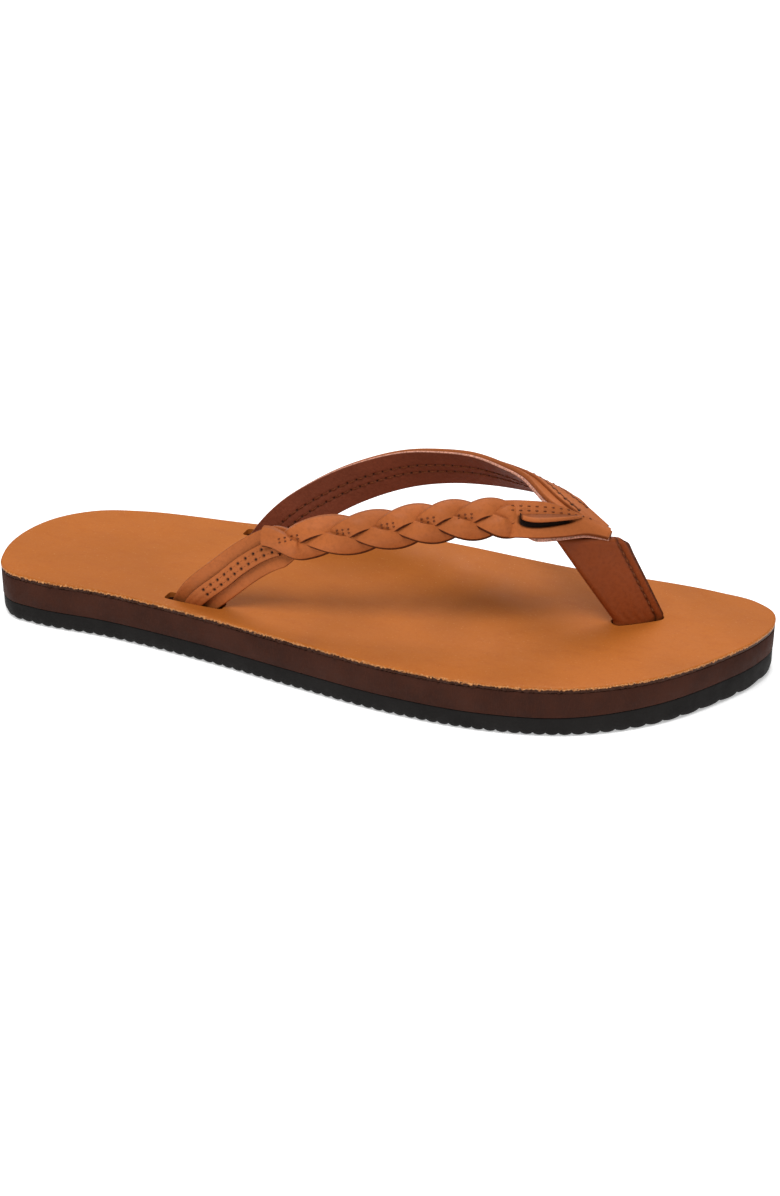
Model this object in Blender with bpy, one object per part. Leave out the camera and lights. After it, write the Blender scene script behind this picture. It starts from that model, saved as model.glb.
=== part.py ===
"""Women's thong sandal, right foot: layered sole, two leather straps, one of them braided, and a toe post.

Everything is drafted in millimetres from the back of the heel: x runs to the toe, y runs from the
heel's centre line to the medial (big toe) side, z runs up from the floor.  to_frame() then moves
a point to the part's frame, whose origin is the centre of the sole's outline on the floor.
"""
import bmesh
import bpy
import numpy as np
from math import cos, pi, radians, sin
from mathutils import Vector

MM = 0.001
FLATNESS = 1e-7

# ---- sole ---------------------------------------------------------------------------------------
FOOTBED_THICKNESS = 2.2
MIDSOLE_THICKNESS = 9.4
OUTSOLE_THICKNESS = 6.9
PARTING = OUTSOLE_THICKNESS
SHELF = OUTSOLE_THICKNESS + MIDSOLE_THICKNESS
FLOOR_OF_FOOT = SHELF + FOOTBED_THICKNESS
GAP = 0.3
TOE_RISE = 1.6
TOE_RISE_FROM = 205.0
SOLE_LENGTH = 262.0
OUTLINE_STEP = 7.0
RING_SHARES = (0.8, 0.52, 0.3)
SPINE_ENDS = ((34.0, 0.0), (222.0, 12.0))

# The upper corner of the sole, from the back of the heel along the lateral side, round the toe
# and back along the medial side.
OUTLINE = [
    (0, -8), (2.3, -20), (5.5, -27), (11, -31.7), (20, -33.2), (47, -32), (84, -34), (121, -38.5),
    (158, -42), (191, -40), (220, -30.3), (241, -12.3), (254.5, 10.5), (261, 28), (262, 40),
    (259, 48.4), (250.5, 54), (237, 55.6), (213, 55), (188, 51.5), (158, 46.5), (122, 41.5),
    (85, 38), (50, 35.2), (30, 31.2), (15, 24.8), (4.5, 13), (0.4, 0),
]

ARCH_RISE = 5.0
ARCH_CENTRE_X = 128.0
ARCH_HALF_LENGTH = 75.0
ARCH_FROM_Y = 8.0
ARCH_TO_Y = 42.0

WEDGE_CENTRE = (134.0, 26.0)
WEDGE_HALF = (38.0, 10.5)
WEDGE_FLOOR = 11.5

RIB_PITCH = 3.9
RIB_GROOVE_WIDTH = 1.5
RIB_DEPTH = 1.0

# ---- straps: (point of the centre line), (direction towards the strap's upper edge) --------------
TAIL_HEIGHT = 10.3
LATERAL_PATH = [
    ((76, -4, TAIL_HEIGHT), (-1, 0, 0)), ((76, -12, TAIL_HEIGHT), (-1, 0, 0)),
    ((76.2, -19.5, 11.2), (-1, 0, 0.1)), ((77.2, -23, 13.8), (-1, 0, 0.3)),
    ((80, -24, 18.6), (-0.8, 0, 0.7)), ((89, -23.7, 28.6), (-0.7, 0.05, 0.75)),
    ((98, -22.7, 37), (-0.55, 0.15, 0.85)), ((106, -21.5, 42.4), (-0.35, 0.25, 1)),
    ((116, -19.6, 46), (-0.15, 0.35, 1)), ((128, -16.8, 48.7), (0, 0.42, 1)),
    ((139.5, -13.4, 51), (0, 0.45, 1)), ((150, -9.9, 53.3), (0, 0.48, 1)),
    ((161, -5.5, 55.3), (0, 0.52, 1)), ((174, 0.2, 56.4), (0, 0.6, 1)),
    ((187, 6.8, 55.4), (0, 0.75, 1)), ((196, 11.6, 53.4), (-0.1, 0.9, 0.9)),
    ((203.5, 16, 50.2), (-0.25, 1, 0.7)),
]
MEDIAL_PATH = [
    ((77.5, 10, TAIL_HEIGHT), (-1, 0, 0)), ((77.5, 18, TAIL_HEIGHT), (-1, 0, 0)),
    ((77.7, 25.4, 11.2), (-1, 0, 0.1)), ((78.7, 28.8, 13.8), (-1, 0, 0.3)),
    ((81.5, 29.8, 18.6), (-0.8, 0, 0.7)), ((89, 32, 27.5), (-0.7, -0.05, 0.8)),
    ((97.5, 35.2, 34.2), (-0.6, -0.12, 0.85)), ((106, 38.2, 39.5), (-0.5, -0.18, 0.95)),
    ((116, 41, 44.3), (-0.4, -0.24, 1)), ((128, 42, 49), (-0.25, -0.28, 1)),
    ((141, 41.9, 52.2), (-0.1, -0.3, 1)), ((154, 40.7, 54.4), (0, -0.32, 1)),
    ((166, 38.4, 55.1), (0, -0.36, 1)), ((177, 35.3, 54.8), (0, -0.45, 1)),
    ((187.5, 31.6, 54.6), (-0.05, -0.65, 0.95)), ((198, 27.2, 54.4), (-0.3, -0.85, 0.6)),
    ((206, 23.6, 53.4), (-0.4, -0.85, 0.35)), ((212.5, 20.6, 50.6), (-0.45, -0.85, 0.25)),
]
PATH_STEP = 3.0
SLOT_X = (66.0, 93.5)
SLOT_OUTSIDE = 4.6
SLOT_INSIDE = 3.4
STRAP_HALF_WIDTH = 7.2
STRAP_END_HALF_WIDTH = 3.4
STRAP_NARROWS_AT = 26.0
LINING = (-1.2, 0.0)
LEATHER = (0.3, 1.8)
STRIP = (2.1, 3.3)
STRIP_HALF_WIDTH = 3.8
THREAD = (3.6, 4.2)
THREAD_HALF_WIDTH = 0.35
THREAD_OFFSET = 2.2

# ---- braid, measured along the lateral path from its buried end ----------------------------------
BRAID_START_X = 104.0
BRAID_END_X = 190.0
BRAID_PITCH = 38.4
STRAND_HALF_WIDTH = 2.1
STRAND_HALF_THICKNESS = 1.0
STRAND_SWING = 4.6
STRAND_LIFT = 1.35
STRAND_CENTRE = 2.85
STRAND_SIDES = 8

# ---- toe post -----------------------------------------------------------------------------------
POST_BASE = (218.9, 25.8)
POST_TOP = (204.8, 17.4)
POST_BASE_TURN = radians(41)
POST_TOP_TURN = radians(27)
POST_BASE_HALF_WIDTH = 8.6
POST_TOP_HALF_WIDTH = 11.4
POST_HALF_THICKNESS = 3.0
POST_LEATHER = 1.3
POST_BURIED = 12.5
POST_TOP_HEIGHT = 47.2
POST_TOP_SLANT = 0.13
CORE_HALF_THICKNESS = 0.9
CORE_HALF_WIDTH = 5.6
CORE_PLATE = (15.0, 9.0, 1.6)
CORE_PLATE_FLOOR = PARTING + 0.45

# ---- colours (linear) -----------------------------------------------------------------------------
COLOURS = {
    "footbed_leather": ((0.53, 0.18, 0.058), 0.5),
    "strap_leather": ((0.40, 0.125, 0.045), 0.55),
    "lining_leather": ((0.15, 0.04, 0.022), 0.6),
    "post_leather": ((0.20, 0.044, 0.014), 0.55),
    "thread": ((0.11, 0.03, 0.012), 0.7),
    "webbing": ((0.03, 0.02, 0.015), 0.8),
    "midsole_foam": ((0.06, 0.022, 0.015), 0.75),
    "arch_foam": ((0.20, 0.18, 0.16), 0.85),
    "outsole_rubber": ((0.022, 0.018, 0.017), 0.7),
}


# ---- curves ---------------------------------------------------------------------------------------
def smooth(points, step, closed=False):
    """A smooth curve through points, sampled about every step; the first three columns hold the place."""
    points = np.array(points, float)
    if closed:
        ring = np.vstack([points[-1:], points, points[:2]])
    else:
        ring = np.vstack([2 * points[0] - points[1], points, 2 * points[-1] - points[-2]])
    curve = []
    for before, start, end, after in zip(ring, ring[1:], ring[2:], ring[3:]):
        back, chord, ahead = [np.linalg.norm(step_vector[:3]) for step_vector in
                              (start - before, end - start, after - end)]
        slope_in = (start - before) / back - (end - before) / (back + chord) + (end - start) / chord
        slope_out = (end - start) / chord - (after - start) / (chord + ahead) + (after - end) / ahead
        count = max(1, round(chord / step))
        for t in np.arange(count) / count:
            curve.append((2 * t**3 - 3 * t**2 + 1) * start + (t**3 - 2 * t**2 + t) * chord * slope_in
                         + (3 * t**2 - 2 * t**3) * end + (t**3 - t**2) * chord * slope_out)
    if not closed:
        curve.append(points[-1])
    return np.array(curve)


def smooth_step(value, low, high):
    share = min(max((value - low) / (high - low), 0.0), 1.0)
    return share * share * (3 - 2 * share)


TOP_EDGE = smooth(OUTLINE, OUTLINE_STEP, closed=True)
CENTRE = (TOP_EDGE.min(axis=0) + TOP_EDGE.max(axis=0)) / 2


def to_frame(point):
    return Vector((point[0] - CENTRE[0], point[1] - CENTRE[1], point[2])) * MM


# ---- heights of the sole's layers -------------------------------------------------------------------
def arch(x, y):
    """How far the foot's side of the sole rises under the medial arch."""
    along = min(abs(x - ARCH_CENTRE_X) / ARCH_HALF_LENGTH, 1.0)
    return ARCH_RISE * cos(along * pi / 2) ** 2 * smooth_step(y, ARCH_FROM_Y, ARCH_TO_Y)


def parting(x, y):
    return PARTING + TOE_RISE * smooth_step(x, TOE_RISE_FROM, SOLE_LENGTH)


def level(height, follows=None):
    """A height over the floor that may follow arch() or stand on parting()."""
    if follows is None:
        return lambda x, y: height
    return lambda x, y: height + follows(x, y)


# ---- mesh helpers -----------------------------------------------------------------------------------
def material(name):
    found = bpy.data.materials.get(name)
    if found:
        return found
    colour, roughness = COLOURS[name]
    made = bpy.data.materials.new(name)
    made.use_nodes = True
    shader = made.node_tree.nodes["Principled BSDF"]
    shader.inputs["Base Color"].default_value = (*colour, 1)
    shader.inputs["Roughness"].default_value = roughness
    made.diffuse_color = (*colour, 1)
    return made


def is_flat(face):
    middle = face.calc_center_median()
    return all(abs((vert.co - middle).dot(face.normal)) < FLATNESS for vert in face.verts)


def solid(name, points, faces, material_name=None):
    """A closed body from drafted points; without a material it is a cutter."""
    mesh = bpy.data.meshes.new(name)
    mesh.from_pydata([to_frame(p) for p in points], [], faces)
    shape = bmesh.new()
    shape.from_mesh(mesh)
    shape.normal_update()
    bmesh.ops.triangulate(shape, faces=[face for face in shape.faces if not is_flat(face)])
    bmesh.ops.recalc_face_normals(shape, faces=shape.faces)
    shape.to_mesh(mesh)
    shape.free()
    body = bpy.data.objects.new(name, mesh)
    bpy.context.collection.objects.link(body)
    if material_name:
        mesh.materials.append(material(material_name))
        mesh.shade_smooth()
        mesh.set_sharp_from_angle(angle=radians(35))
    else:
        body.hide_render = True
        body.display_type = 'WIRE'
    return body


def cut(body, cutter):
    modifier = body.modifiers.new(cutter.name, 'BOOLEAN')
    modifier.operation = 'DIFFERENCE'
    modifier.solver = 'EXACT'
    modifier.object = cutter


def loft(name, sections, material_name=None):
    """Joins equal rings of points and closes the first and the last."""
    count = len(sections[0])
    points = [p for ring in sections for p in ring]
    faces = [tuple(range(count)), tuple(range(len(points) - count, len(points)))]
    for ring in range(len(sections) - 1):
        for i in range(count):
            j = (i + 1) % count
            low, high = ring * count, (ring + 1) * count
            faces.append((low + i, low + j, high + j, high + i))
    return solid(name, points, faces, material_name)


def inset(edge, distance):
    """The outline moved inwards by distance."""
    ahead = np.roll(edge, -1, axis=0) - np.roll(edge, 1, axis=0)
    inward = np.stack([-ahead[:, 1], ahead[:, 0]], axis=1)
    return edge + distance * inward / np.linalg.norm(inward, axis=1, keepdims=True)


def spine_point(point):
    """The place on the sole's middle line that a point of the edge closes on."""
    (x0, y0), (x1, y1) = SPINE_ENDS
    share = min(max((point[0] - x0) / (x1 - x0), 0.0), 1.0)
    return np.array([x0 + share * (x1 - x0), y0 + share * (y1 - y0)])


def slab(name, edge, levels, material_name, flat_underside=False):
    """A layer of the sole: levels are (inset, height function) from its underside to its top."""
    walls = [(inset(edge, distance), height) for distance, height in levels]
    shares = [1.0] * len(levels) + list(RING_SHARES)
    walls += [walls[-1]] * len(RING_SHARES)
    if not flat_underside:
        shares = list(reversed(RING_SHARES)) + shares
        walls = [walls[0]] * len(RING_SHARES) + walls
    sections = []
    for share, (outline, height) in zip(shares, walls):
        ring = [spine_point(p) + (p - spine_point(p)) * share for p in outline]
        sections.append([(x, y, height(x, y)) for x, y in ring])
    return loft(name, sections, material_name)


def box(name, low, high, turn=0.0, about=(0, 0)):
    """A block between two corners, turned about a vertical axis."""
    corners = [(low[0], low[1]), (high[0], low[1]), (high[0], high[1]), (low[0], high[1])]
    turned = [(about[0] + x * cos(turn) - y * sin(turn), about[1] + x * sin(turn) + y * cos(turn))
              for x, y in corners]
    return loft(name, [[(x, y, z) for x, y in turned] for z in (low[2], high[2])])


# ---- sole ---------------------------------------------------------------------------------------
def outsole():
    levels = [(2.4, level(0)), (1.3, level(0.7)), (0.8, level(2.2)), (0.6, level(-GAP / 2, parting))]
    body = slab("outsole", TOP_EDGE, levels, "outsole_rubber", flat_underside=True)
    points, faces = [], []
    rib = RIB_PITCH
    while rib < SOLE_LENGTH:
        first = len(points)
        for y in (TOP_EDGE[:, 1].min() - 5, TOP_EDGE[:, 1].max() + 5):
            points += [(rib - RIB_GROOVE_WIDTH / 2, y, -0.5), (rib + RIB_GROOVE_WIDTH / 2, y, -0.5),
                       (rib, y, RIB_DEPTH)]
        faces += [tuple(first + i for i in face) for face in
                  ((0, 1, 2), (5, 4, 3), (0, 3, 4, 1), (1, 4, 5, 2), (2, 5, 3, 0))]
        rib += RIB_PITCH
    cut(body, solid("tread_grooves", points, faces))


def midsole(cutters):
    levels = [(0.5, level(GAP / 2, parting)), (0.15, level(SHELF - GAP / 2, arch))]
    body = slab("midsole", TOP_EDGE, levels, "midsole_foam")
    for cutter in cutters:
        cut(body, cutter)


def footbed(cutters):
    levels = [(0.1, level(SHELF + GAP / 2, arch)), (0.0, level(FLOOR_OF_FOOT - 0.5, arch)),
              (0.4, level(FLOOR_OF_FOOT, arch))]
    body = slab("footbed", TOP_EDGE, levels, "footbed_leather")
    for cutter in cutters:
        cut(body, cutter)


def ellipse(centre, half, count=36):
    return np.array([(centre[0] + half[0] * cos(2 * pi * i / count),
                      centre[1] + half[1] * sin(2 * pi * i / count)) for i in range(count)])


def arch_wedge():
    """Firm foam between midsole and footbed; returns the cutter of the pocket it lies in."""
    edge = ellipse(WEDGE_CENTRE, WEDGE_HALF)
    rings = [(1.0, level(WEDGE_FLOOR)), (1.0, level(SHELF - 1.5 * GAP, arch)),
             (0.6, level(SHELF - 1.5 * GAP, arch)), (0.25, level(SHELF - 1.5 * GAP, arch))]
    middle = np.array(WEDGE_CENTRE)
    sections = []
    for share, height in rings:
        ring = middle + (edge - middle) * share
        sections.append([(x, y, height(x, y)) for x, y in ring])
    loft("arch_wedge", sections, "arch_foam")
    pocket = ellipse(WEDGE_CENTRE, (WEDGE_HALF[0] + GAP, WEDGE_HALF[1] + GAP))
    return loft("wedge_pocket", [[(x, y, z) for x, y in pocket] for z in (WEDGE_FLOOR - GAP, 30)])


# ---- straps -------------------------------------------------------------------------------------
class Strap:
    """Stations along a strap: place, direction across it and direction out of its face."""

    def __init__(self, path, outward_side):
        rows = smooth([(*place, *across) for place, across in path], PATH_STEP)
        self.place = rows[:, :3]
        along = np.gradient(self.place, axis=0)
        along /= np.linalg.norm(along, axis=1, keepdims=True)
        across = rows[:, 3:]
        across = across - along * np.sum(across * along, axis=1, keepdims=True)
        self.across = across / np.linalg.norm(across, axis=1, keepdims=True)
        self.outward = outward_side * np.cross(along, self.across)
        steps = np.linalg.norm(np.diff(self.place, axis=0), axis=1)
        self.length = np.concatenate([[0], np.cumsum(steps)])

    def at(self, distance, side, height):
        """A point at a distance along the strap, to its upper side and out of its face."""
        columns = [np.array([np.interp(distance, self.length, table[:, i]) for i in range(3)])
                   for table in (self.place, self.across, self.outward)]
        return columns[0] + side * columns[1] + height * columns[2]

    def distance_of(self, x):
        """How far along the strap it passes x, counted over the sole."""
        above = self.place[:, 2] > FLOOR_OF_FOOT
        return float(np.interp(x, self.place[above, 0], self.length[above]))

    def stations(self, start, end, step=PATH_STEP):
        """Distances from start to end; those between them are shared by every layer of the strap."""
        inner = np.arange(0, self.length[-1], step)
        inner = inner[(inner > start + step / 3) & (inner < end - step / 3)]
        return [start, *inner, end]


def half_width(strap, distance, full=STRAP_HALF_WIDTH):
    """Half the width of a strap, which narrows towards its toe end."""
    left = strap.length[-1] - distance
    narrowed = STRAP_END_HALF_WIDTH + (full - STRAP_END_HALF_WIDTH) * smooth_step(left, 0, STRAP_NARROWS_AT)
    return min(full, narrowed)


def band(name, strap, start, end, layer, material_name, full=STRAP_HALF_WIDTH):
    """A flat strip of leather on a strap, between two distances and two heights over its face."""
    sections = []
    for distance in strap.stations(start, end):
        half = half_width(strap, distance, full)
        sections.append([strap.at(distance, side * half, height)
                         for side, height in ((-1, layer[0]), (1, layer[0]), (1, layer[1]), (-1, layer[1]))])
    loft(name, sections, material_name)


def thread_row(name, strap, start, end, side, layer=THREAD):
    """One row of stitching, as a continuous thread lying on the strap."""
    sections = []
    for distance in strap.stations(start, end):
        sections.append([strap.at(distance, side + edge * THREAD_HALF_WIDTH, height)
                         for edge, height in ((-1, layer[0]), (1, layer[0]), (1, layer[1]), (-1, layer[1]))])
    loft(name, sections, "thread")


def medial_strap(strap):
    end = strap.length[-1]
    over_sole = strap.distance_of(84)
    band("medial_lining", strap, 0, end, LINING, "lining_leather")
    band("medial_strap", strap, 0, end, LEATHER, "strap_leather")
    band("medial_strip", strap, over_sole, end - 2, STRIP, "strap_leather", STRIP_HALF_WIDTH)
    thread_row("medial_stitch_upper", strap, over_sole + 2, end - 4, THREAD_OFFSET)
    thread_row("medial_stitch_lower", strap, over_sole + 2, end - 4, -THREAD_OFFSET)


def strand(name, strap, start, end, turn):
    """One of three strands: it swings across the strap once a pitch and rises and dips twice."""
    sections = []
    for distance in strap.stations(start, end, 1.6):
        phase = 2 * pi * (distance - start) / BRAID_PITCH + turn
        ring = []
        for i in range(STRAND_SIDES):
            angle = 2 * pi * i / STRAND_SIDES
            ring.append(strap.at(distance, STRAND_SWING * sin(phase) + STRAND_HALF_WIDTH * cos(angle),
                                 STRAND_CENTRE + STRAND_LIFT * sin(2 * phase)
                                 + STRAND_HALF_THICKNESS * sin(angle)))
        sections.append(ring)
    loft(name, sections, "strap_leather")


def braid_end_tab(strap, start):
    """The last strand turned on edge and folded back into a tab at the toe end of the braid."""
    sections = []
    for distance in strap.stations(start, start + 15, 2.5):
        swell = 1.1 + 0.9 * sin(pi * (distance - start) / 15)
        sections.append([strap.at(distance, -2.6 + side * swell, height)
                         for side, height in ((-1, 2.1), (1, 2.1), (1, 4.6), (0, 5.4), (-1, 4.6))])
    loft("braid_end_tab", sections, "strap_leather")


def lateral_strap(strap):
    end = strap.length[-1]
    over_sole = strap.distance_of(84)
    braid_start = strap.distance_of(BRAID_START_X)
    braid_end = strap.distance_of(BRAID_END_X)
    band("lateral_lining", strap, 0, end, LINING, "lining_leather")
    band("lateral_strap", strap, 0, braid_start - 1, LEATHER, "strap_leather")
    band("lateral_strip", strap, over_sole, braid_start - 1, STRIP, "strap_leather", STRIP_HALF_WIDTH)
    thread_row("lateral_stitch_upper", strap, over_sole + 2, braid_start - 2, THREAD_OFFSET)
    thread_row("lateral_stitch_lower", strap, over_sole + 2, braid_start - 2, -THREAD_OFFSET)
    for number in range(3):
        strand(f"braid_strand_{number + 1}", strap, braid_start, braid_end, number * 2 * pi / 3)
    band("lateral_end", strap, braid_end + 1, end, LEATHER, "strap_leather")
    thread_row("lateral_end_stitch", strap, braid_end + 2, end - 3, 2.0, (2.1, 2.7))
    braid_end_tab(strap, braid_end + 1)


# ---- toe post -----------------------------------------------------------------------------------
def post_section(share, grow):
    """A ring round the toe post at a share of its height over the footbed, grown by grow."""
    rise = max(share, 0.0)
    turn = POST_BASE_TURN + (POST_TOP_TURN - POST_BASE_TURN) * rise
    centre = [base + (top - base) * rise for base, top in zip(POST_BASE, POST_TOP)]
    half = POST_BASE_HALF_WIDTH + (POST_TOP_HALF_WIDTH - POST_BASE_HALF_WIDTH) * rise + grow
    thick = POST_HALF_THICKNESS + grow
    height = FLOOR_OF_FOOT + share * (POST_TOP_HEIGHT - FLOOR_OF_FOOT)
    ring = []
    for i in range(20):
        angle = 2 * pi * i / 20
        along = half * np.sign(cos(angle)) * abs(cos(angle)) ** 0.7
        aside = thick * np.sign(sin(angle)) * abs(sin(angle)) ** 0.7
        ring.append((centre[0] + along * cos(turn) - aside * sin(turn),
                     centre[1] + along * sin(turn) + aside * cos(turn),
                     height + POST_TOP_SLANT * along * rise))
    return ring


def buried_share():
    return (POST_BURIED - FLOOR_OF_FOOT) / (POST_TOP_HEIGHT - FLOOR_OF_FOOT)


def toe_post_sleeve():
    """Leather folded round the web and sewn along its front edge: a flat tube, open at both ends."""
    shares = [buried_share(), 0.0, 0.25, 0.5, 0.75, 1.0]
    rings = [post_section(share, 0.0) for share in shares]
    rings += [post_section(share, -POST_LEATHER) for share in reversed(shares)]
    count = len(rings[0])
    faces = []
    for ring in range(len(rings)):
        low, high = ring * count, (ring + 1) % len(rings) * count
        for i in range(count):
            j = (i + 1) % count
            faces.append((low + i, low + j, high + j, high + i))
    solid("toe_post_sleeve", [p for ring in rings for p in ring], faces, "post_leather")


def toe_post_core():
    """The woven web inside the sleeve, with the plate that holds it under the midsole."""
    sections = []
    plate_x, plate_y, plate_thick = CORE_PLATE
    outline = ((-1, -1), (1, -1), (1, 1), (-1, 1))
    for height in (CORE_PLATE_FLOOR, CORE_PLATE_FLOOR + plate_thick):
        sections.append(core_ring(0.0, height, plate_x / 2, plate_y / 2, outline))
    sections.append(core_ring(0.0, CORE_PLATE_FLOOR + plate_thick, CORE_HALF_WIDTH, CORE_HALF_THICKNESS, outline))
    for share in (0.0, 0.33, 0.66, 0.97):
        height = FLOOR_OF_FOOT + share * (POST_TOP_HEIGHT - FLOOR_OF_FOOT)
        sections.append(core_ring(share, height, CORE_HALF_WIDTH, CORE_HALF_THICKNESS, outline))
    loft("toe_post_core", sections, "webbing")


def core_ring(share, height, half, thick, outline):
    turn = POST_BASE_TURN + (POST_TOP_TURN - POST_BASE_TURN) * share
    centre = [base + (top - base) * share for base, top in zip(POST_BASE, POST_TOP)]
    return [(centre[0] + u * half * cos(turn) - v * thick * sin(turn),
             centre[1] + u * half * sin(turn) + v * thick * cos(turn), height) for u, v in outline]


def toe_post_stitch():
    """The thread that closes the sleeve, on its lateral face close to the front edge."""
    sections = []
    for share in (0.04, 0.25, 0.5, 0.75, 0.95):
        turn = POST_BASE_TURN + (POST_TOP_TURN - POST_BASE_TURN) * share
        centre = [base + (top - base) * share for base, top in zip(POST_BASE, POST_TOP)]
        half = POST_BASE_HALF_WIDTH + (POST_TOP_HALF_WIDTH - POST_BASE_HALF_WIDTH) * share
        height = FLOOR_OF_FOOT + share * (POST_TOP_HEIGHT - FLOOR_OF_FOOT) + POST_TOP_SLANT * half * share
        ring = []
        for u, v in ((-2.9, 0.35), (-2.2, 0.35), (-2.2, 0.85), (-2.9, 0.85)):
            along, aside = half + u, -POST_HALF_THICKNESS - v
            ring.append((centre[0] + along * cos(turn) - aside * sin(turn),
                         centre[1] + along * sin(turn) + aside * cos(turn), height))
        sections.append(ring)
    loft("toe_post_stitch", sections, "thread")


# ---- openings the straps go through -----------------------------------------------------------------
def strap_cutters(name, strap, inward):
    """The slot in the footbed and the glue pocket in the midsole for one strap's buried end."""
    passing = int(np.argmax(strap.place[:, 2] > FLOOR_OF_FOOT))
    slot_y = strap.place[passing, 1]
    outer, inner = slot_y - inward * SLOT_OUTSIDE, slot_y + inward * SLOT_INSIDE
    end = strap.place[0, 1] + inward * 1.2
    slot = box(f"{name}_slot", (SLOT_X[0], min(outer, inner), 15), (SLOT_X[1], max(outer, inner), 24))
    pocket = box(f"{name}_pocket", (SLOT_X[0], min(outer, end), TAIL_HEIGHT - 2.2),
                 (SLOT_X[1], max(outer, end), 24))
    return slot, pocket


def post_cutters():
    slot = loft("post_slot", [[(x, y, z) for x, y, _ in post_section(0.0, GAP)] for z in (POST_BURIED - GAP, 24)])
    well = box("web_well", (-CORE_HALF_WIDTH - GAP, -CORE_HALF_THICKNESS - GAP, 5),
               (CORE_HALF_WIDTH + GAP, CORE_HALF_THICKNESS + GAP, 15), POST_BASE_TURN, POST_BASE)
    half_x, half_y = CORE_PLATE[0] / 2 + GAP, CORE_PLATE[1] / 2 + GAP
    recess = box("plate_recess", (-half_x, -half_y, 5), (half_x, half_y, CORE_PLATE_FLOOR + CORE_PLATE[2] + GAP),
                 POST_BASE_TURN, POST_BASE)
    return slot, well, recess


def build():
    for old in list(bpy.data.objects):
        bpy.data.objects.remove(old, do_unlink=True)
    lateral = Strap(LATERAL_PATH, 1)
    medial = Strap(MEDIAL_PATH, -1)
    lateral_slot, lateral_pocket = strap_cutters("lateral", lateral, 1)
    medial_slot, medial_pocket = strap_cutters("medial", medial, -1)
    post_slot, web_well, plate_recess = post_cutters()
    outsole()
    wedge_pocket = arch_wedge()
    midsole([wedge_pocket, lateral_pocket, medial_pocket, post_slot, web_well, plate_recess])
    footbed([lateral_slot, medial_slot, post_slot])
    medial_strap(medial)
    lateral_strap(lateral)
    toe_post_core()
    toe_post_sleeve()
    toe_post_stitch()


build()
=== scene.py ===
"""The looks of a women's leather thong sandal, right foot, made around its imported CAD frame.

Shapes are drafted in millimetres as in the CAD: x runs from the back of the heel to the toe, y to
the medial side and z up from the floor.  placed() moves drafted points to the part's frame.
"""
import bmesh
import bpy
import numpy as np
from math import cos, pi, radians, sin
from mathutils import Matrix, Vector
from mathutils.bvhtree import BVHTree


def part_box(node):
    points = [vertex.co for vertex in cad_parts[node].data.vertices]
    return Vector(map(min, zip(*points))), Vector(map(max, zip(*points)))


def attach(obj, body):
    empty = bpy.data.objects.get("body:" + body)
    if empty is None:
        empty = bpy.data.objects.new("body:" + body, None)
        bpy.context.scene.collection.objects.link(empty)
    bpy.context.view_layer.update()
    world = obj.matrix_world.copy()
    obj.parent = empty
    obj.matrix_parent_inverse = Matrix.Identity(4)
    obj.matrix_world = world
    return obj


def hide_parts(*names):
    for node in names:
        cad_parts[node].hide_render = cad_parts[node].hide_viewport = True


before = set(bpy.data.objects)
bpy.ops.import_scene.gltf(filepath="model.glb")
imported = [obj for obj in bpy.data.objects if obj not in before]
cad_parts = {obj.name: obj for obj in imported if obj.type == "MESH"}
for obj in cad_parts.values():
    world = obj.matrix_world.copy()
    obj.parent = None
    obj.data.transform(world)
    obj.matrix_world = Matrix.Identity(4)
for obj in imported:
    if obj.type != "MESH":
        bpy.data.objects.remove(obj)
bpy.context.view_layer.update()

MM = 0.001
BODY = "root"

# ---- sole, drafted as in the CAD ----
PARTING = 6.9
SHELF = 16.3
FLOOR_OF_FOOT = 18.5
TOE_RISE = 1.6
TOE_RISE_FROM = 205.0
SOLE_LENGTH = 262.0
OUTLINE = [
    (0, -8), (2.3, -20), (5.5, -27), (11, -31.7), (20, -33.2), (47, -32), (84, -34), (121, -38.5),
    (158, -42), (191, -40), (220, -30.3), (241, -12.3), (254.5, 10.5), (261, 28), (262, 40),
    (259, 48.4), (250.5, 54), (237, 55.6), (213, 55), (188, 51.5), (158, 46.5), (122, 41.5),
    (85, 38), (50, 35.2), (30, 31.2), (15, 24.8), (4.5, 13), (0.4, 0),
]
ARCH_RISE = 5.0
ARCH_CENTRE_X = 128.0
ARCH_HALF_LENGTH = 75.0
ARCH_Y = (8.0, 42.0)
RIB_PITCH = 3.9
RIB_DEPTH = 1.0
RIB_SAMPLES = 8
END_STRETCH = 7.0

# ---- straps: (point of the centre line), (direction towards the strap's upper edge) ----
LATERAL_PATH = [
    ((76.2, -19.5, 11.2), (-1, 0, 0.1)), ((77.2, -23, 13.8), (-1, 0, 0.3)),
    ((80, -24, 18.6), (-0.8, 0, 0.7)), ((89, -23.7, 28.6), (-0.7, 0.05, 0.75)),
    ((98, -22.7, 37), (-0.55, 0.15, 0.85)), ((106, -21.5, 42.4), (-0.35, 0.25, 1)),
    ((116, -19.6, 46), (-0.15, 0.35, 1)), ((128, -16.8, 48.7), (0, 0.42, 1)),
    ((139.5, -13.4, 51), (0, 0.45, 1)), ((150, -9.9, 53.3), (0, 0.48, 1)),
    ((161, -5.5, 55.3), (0, 0.52, 1)), ((174, 0.2, 56.4), (0, 0.6, 1)),
    ((187, 6.9, 55.6), (0, 0.75, 1)), ((196, 12, 54), (-0.1, 0.9, 0.9)),
    ((203.2, 17.1, 51.7), (-0.25, 1, 0.7)), ((210.3, 20.4, 49), (-0.3, 1, 0.6)),
]
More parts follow.
